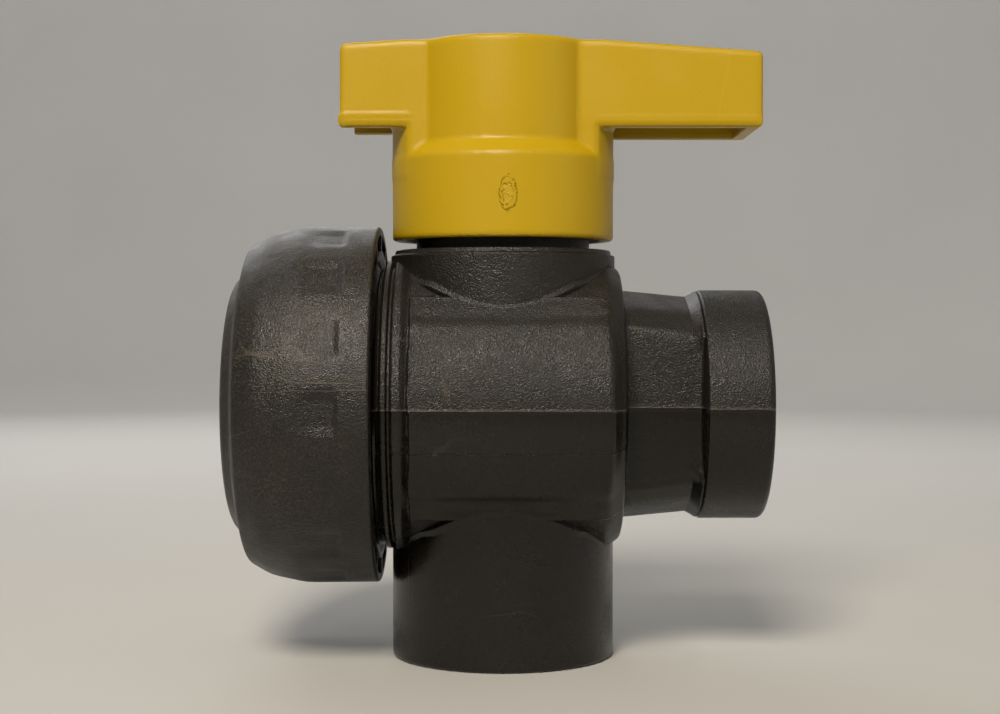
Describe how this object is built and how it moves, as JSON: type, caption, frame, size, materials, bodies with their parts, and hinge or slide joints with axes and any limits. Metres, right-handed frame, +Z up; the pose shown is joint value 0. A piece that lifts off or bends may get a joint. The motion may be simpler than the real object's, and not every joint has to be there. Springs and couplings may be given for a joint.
{
  "type": "three-way ball valve",
  "caption": "Plastic three-way ball valve: bottom port, fixed side socket, union-nut side port, L-bored ball and a T-shaped lever handle.",
  "frame": {"origin": "centre of the bottom port's end face, on the stem axis", "axes": "+Z up along the stem axis, +X along the main pipe out of the fixed side socket, -X out of the union end"},
  "size_m": [0.1065, 0.0724, 0.1236],
  "materials": {
    "body_plastic": "black glass-filled polypropylene, finely sand-textured, satin",
    "nut_plastic": "black polypropylene, scuffed and slightly greyed",
    "ball_plastic": "black polypropylene, smooth",
    "seat_plastic": "white PTFE",
    "seal_rubber": "black rubber",
    "stem_steel": "turned stainless steel",
    "handle_plastic": "mustard-yellow polypropylene, semi-gloss",
    "fastener_steel": "stainless steel"
  },
  "bodies": {
    "body": {"valve_body": "body_plastic", "seat_right": "seat_plastic", "seat_left": "seat_plastic", "seat_bottom": "seat_plastic", "seat_ring_right": "seal_rubber", "seat_ring_left": "seal_rubber", "seat_ring_bottom": "seal_rubber", "seat_carrier": "ball_plastic", "carrier_ring": "seal_rubber", "thrust_washer": "seat_plastic"},
    "rotor": {"handle": "handle_plastic", "handle_washer": "fastener_steel", "handle_screw": "fastener_steel", "stem": "stem_steel", "stem_ring_lower": "seal_rubber", "stem_ring_upper": "seal_rubber", "ball": "ball_plastic"},
    "connector": {"end_connector": "ball_plastic", "face_ring": "seal_rubber"},
    "nut": {"union_nut": "nut_plastic"}
  },
  "joints": [
    {"name": "handle_turn", "type": "hinge", "parent": "body", "child": "rotor", "pos_m": [0, 0, 0.051], "axis": [0, 0, 1], "range_deg": [0, 180]},
    {"name": "connector_slide", "type": "slide", "parent": "body", "child": "connector", "axis": [-1, 0, 0], "range_m": [0, 0.012]},
    {"name": "nut_turn", "type": "hinge", "parent": "connector", "child": "nut", "pos_m": [-0.04, 0, 0.051], "axis": [-1, 0, 0], "range_deg": [0, 1440]}
  ],
  "couplings": [
    {"joint": "connector_slide", "follows": "nut_turn", "m_per_rad": 0.00047746}
  ]
}
